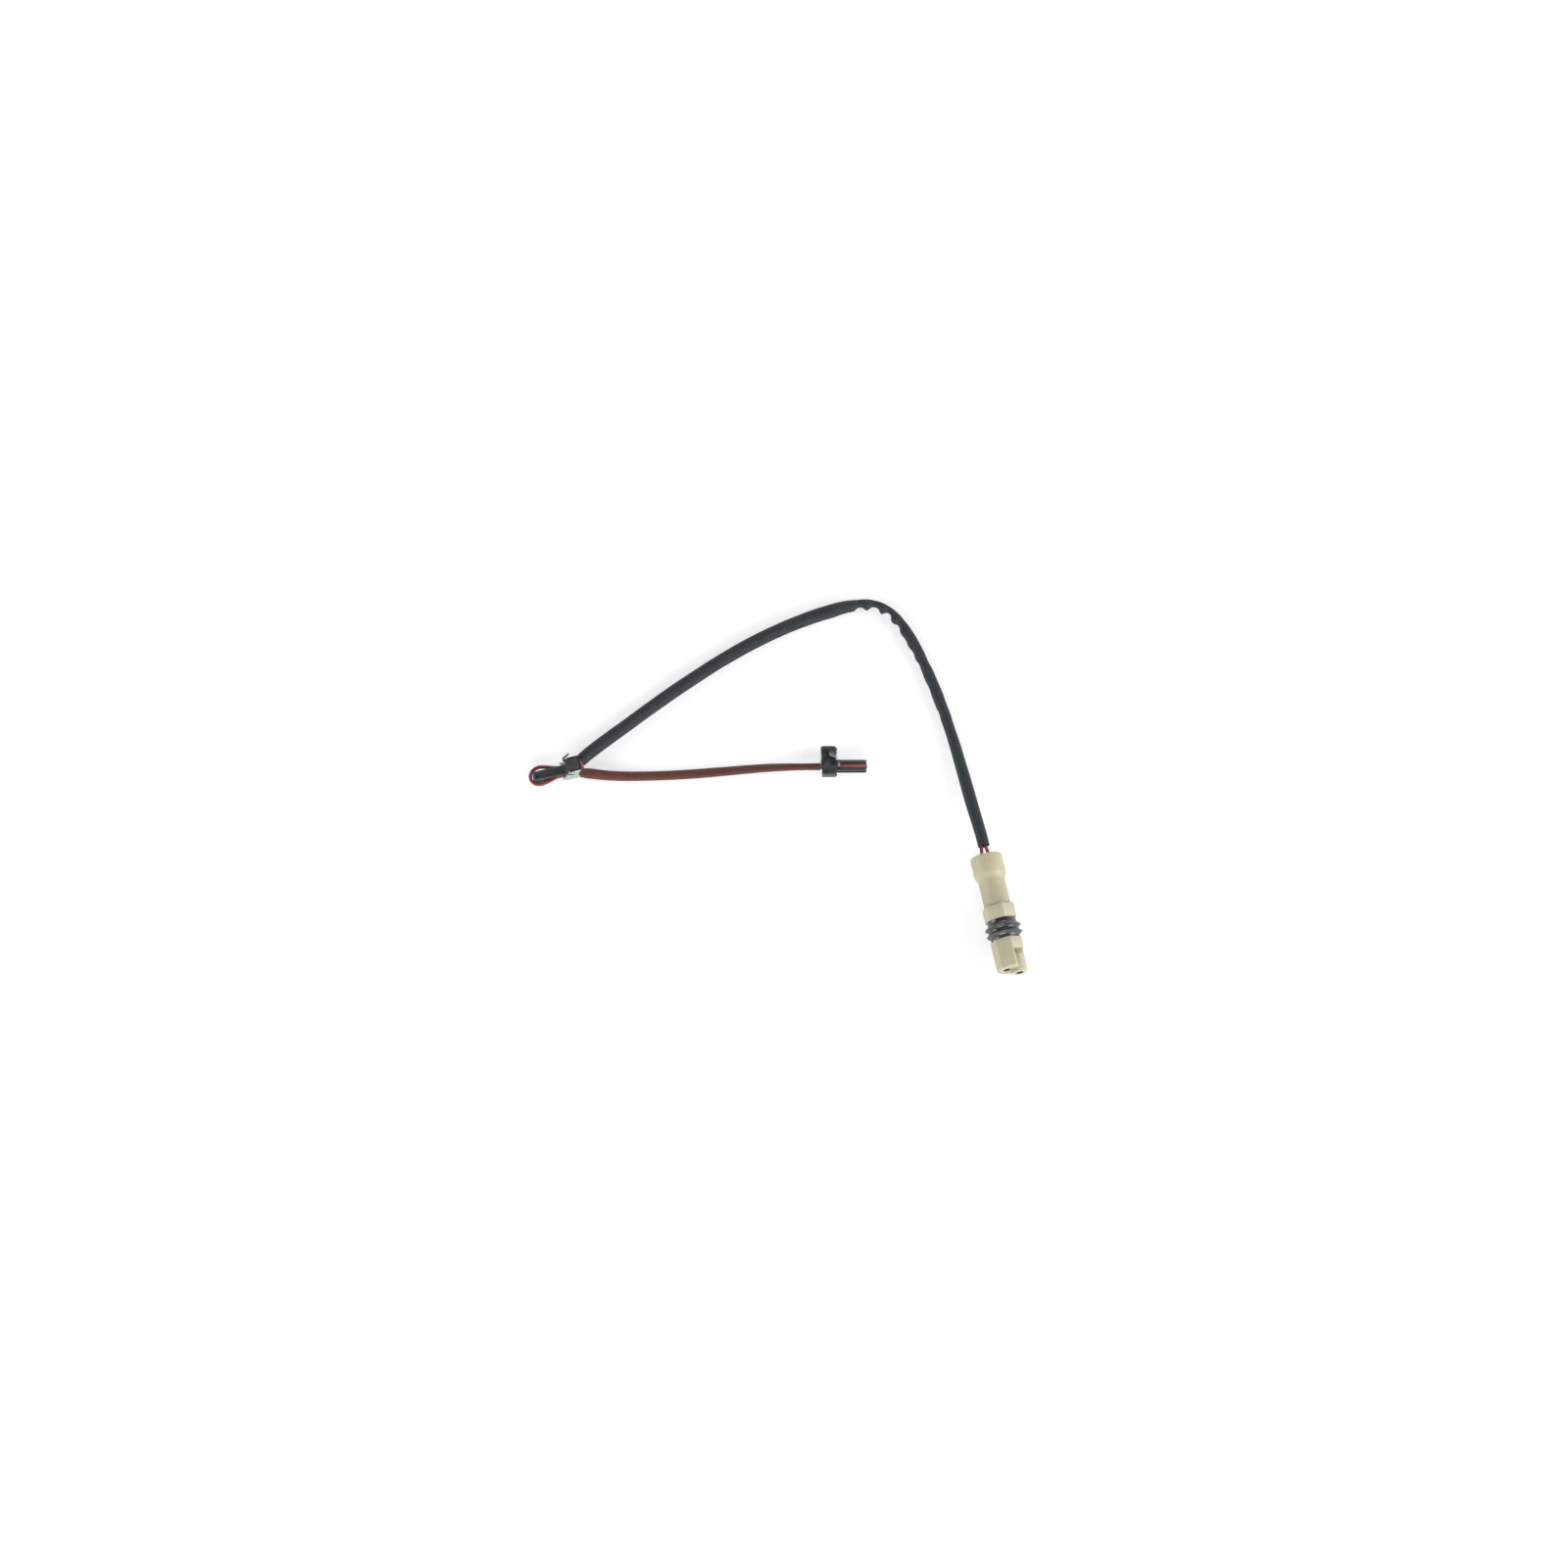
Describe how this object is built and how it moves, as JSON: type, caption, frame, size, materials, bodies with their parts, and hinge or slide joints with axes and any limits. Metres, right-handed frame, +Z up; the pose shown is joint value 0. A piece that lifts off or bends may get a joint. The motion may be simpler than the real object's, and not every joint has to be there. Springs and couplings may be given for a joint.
{
  "type": "brake pad wear sensor",
  "caption": "Brake pad wear sensor: clip-in sensing heads with wire loops round grooved tongues, joined by sleeved wires to a round sealed plug with socket contacts.",
  "frame": {"origin": "on the surface the sensor lies on, under the middle of the box round the heads and the plug, the sleeves left out", "axes": "+Z up from the surface; +X from the first sensing head towards the plug, the longest extent; +Y towards the top of the black sleeve's bend"},
  "size_m": [0.1727, 0.1354, 0.0127],
  "materials": {
    "carrier_plastic": "satin glass-filled plastic",
    "spring_steel": "bright rolled spring steel",
    "wire_red": "dark red wire insulation",
    "sleeve_black": "soft black sleeve",
    "sleeve_brown": "red-brown sleeve, smooth",
    "plug_beige": "beige moulded plastic",
    "seal_rubber": "black seal rubber",
    "wire_seal_rubber": "salmon silicone rubber",
    "tinned_brass": "tin-plated brass"
  },
  "bodies": {
    "root": {"connector_housing": "plug_beige", "connector_seal": "seal_rubber", "wire_seal": "wire_seal_rubber", "contact_left": "tinned_brass", "contact_right": "tinned_brass", "lead_wire_left": "wire_red", "lead_wire_right": "wire_red", "black_sleeve": "sleeve_black", "brown_sleeve": "sleeve_brown", "crossover_wire": "wire_red", "head_1_carrier": "carrier_plastic", "head_1_spring_clip": "spring_steel", "head_1_sensing_wire": "wire_red", "head_2_carrier": "carrier_plastic", "head_2_spring_clip": "spring_steel", "head_2_sensing_wire": "wire_red"}
  },
  "joints": []
}
